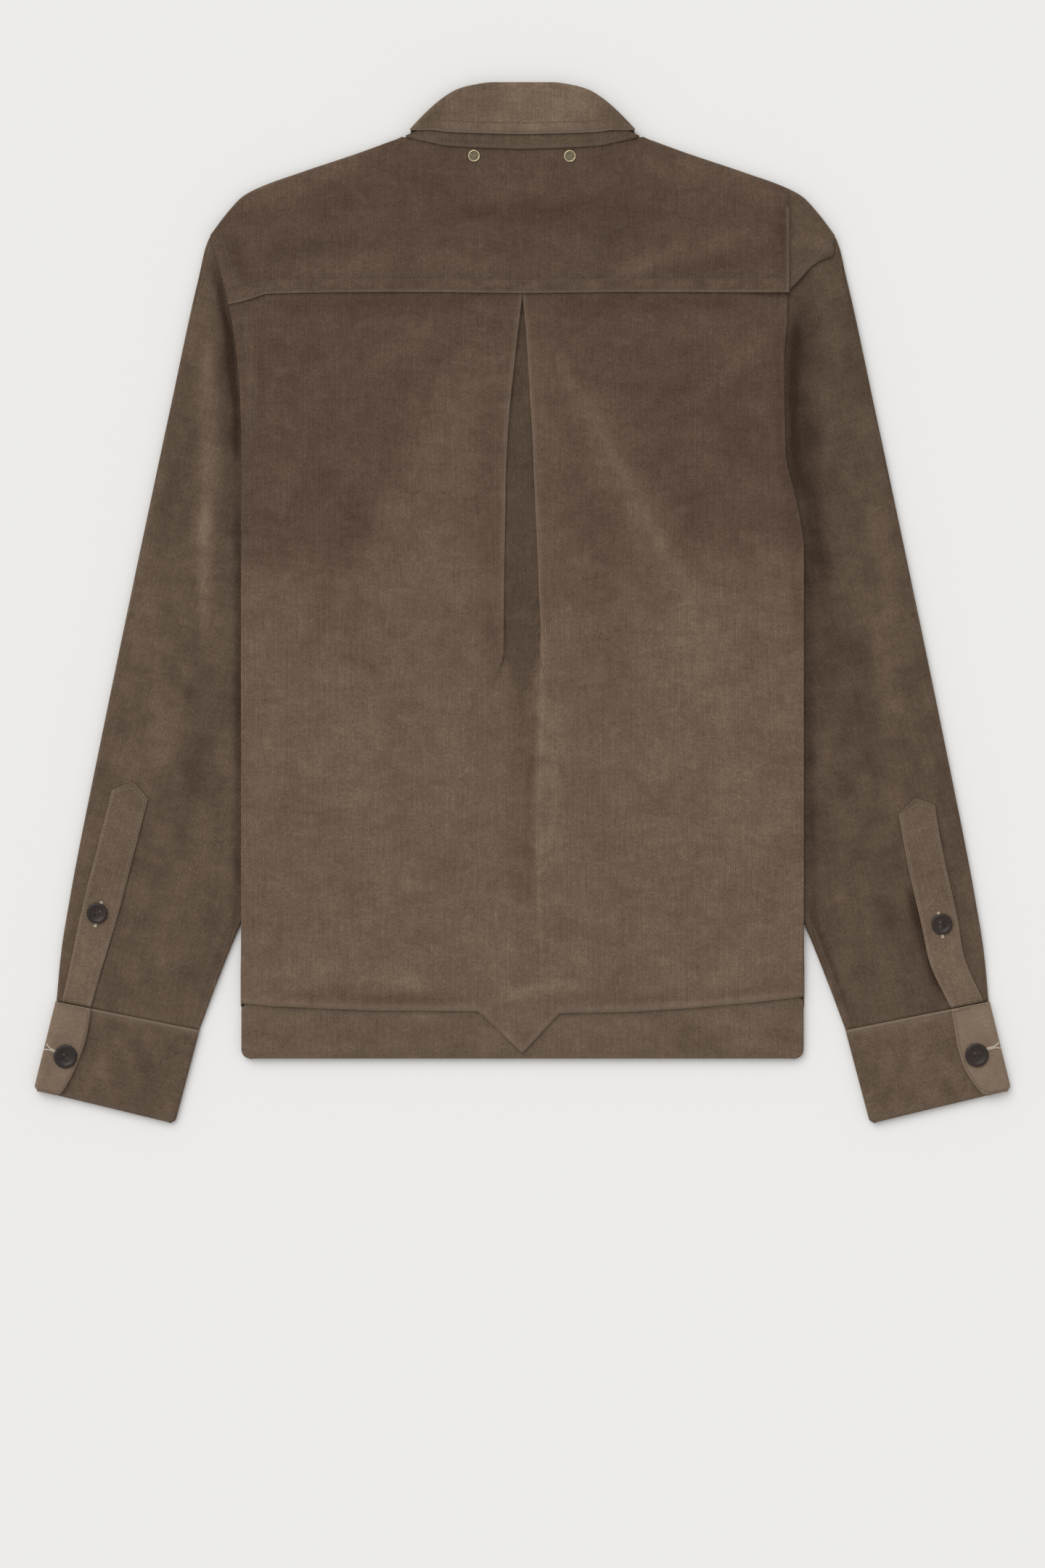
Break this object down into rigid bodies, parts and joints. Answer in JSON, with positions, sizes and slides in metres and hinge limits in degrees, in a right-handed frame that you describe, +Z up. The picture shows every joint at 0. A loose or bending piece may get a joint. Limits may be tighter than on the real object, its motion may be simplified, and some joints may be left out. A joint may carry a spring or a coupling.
{
  "type": "corduroy shacket laid flat",
  "caption": "Corduroy overshirt laid flat with its back up: yoke, inverted pleat, hem band, buttoned cuffs and sleeve plackets, collar up.",
  "frame": {"origin": "middle of the garment's outline, on the surface it lies on", "axes": "+Y from the hem to the collar, +Z up from the surface, +X to the wearer's right as seen from the back"},
  "size_m": [0.74, 0.788, 0.0112],
  "materials": {
    "corduroy": "taupe brown fine-wale cotton corduroy",
    "button": "polished dark horn-like resin",
    "eyelet": "pale polished brass"
  },
  "bodies": {
    "root": {"back_panel": "corduroy", "back_yoke": "corduroy", "hem_band_back": "corduroy", "front_left": "corduroy", "front_right": "corduroy", "hem_band_front_left": "corduroy", "hem_band_front_right": "corduroy", "sleeve_left": "corduroy", "sleeve_right": "corduroy", "sleeve_placket_left": "corduroy", "sleeve_placket_right": "corduroy", "cuff_left": "corduroy", "cuff_right": "corduroy", "collar_leaf": "corduroy", "collar_stand": "corduroy", "cuff_button_left": "button", "cuff_button_right": "button", "placket_button_left": "button", "placket_button_right": "button", "front_button_1": "button", "front_button_2": "button", "front_button_3": "button", "front_button_4": "button", "front_button_5": "button", "front_button_6": "button", "eyelet_left": "eyelet", "eyelet_right": "eyelet"}
  },
  "joints": []
}
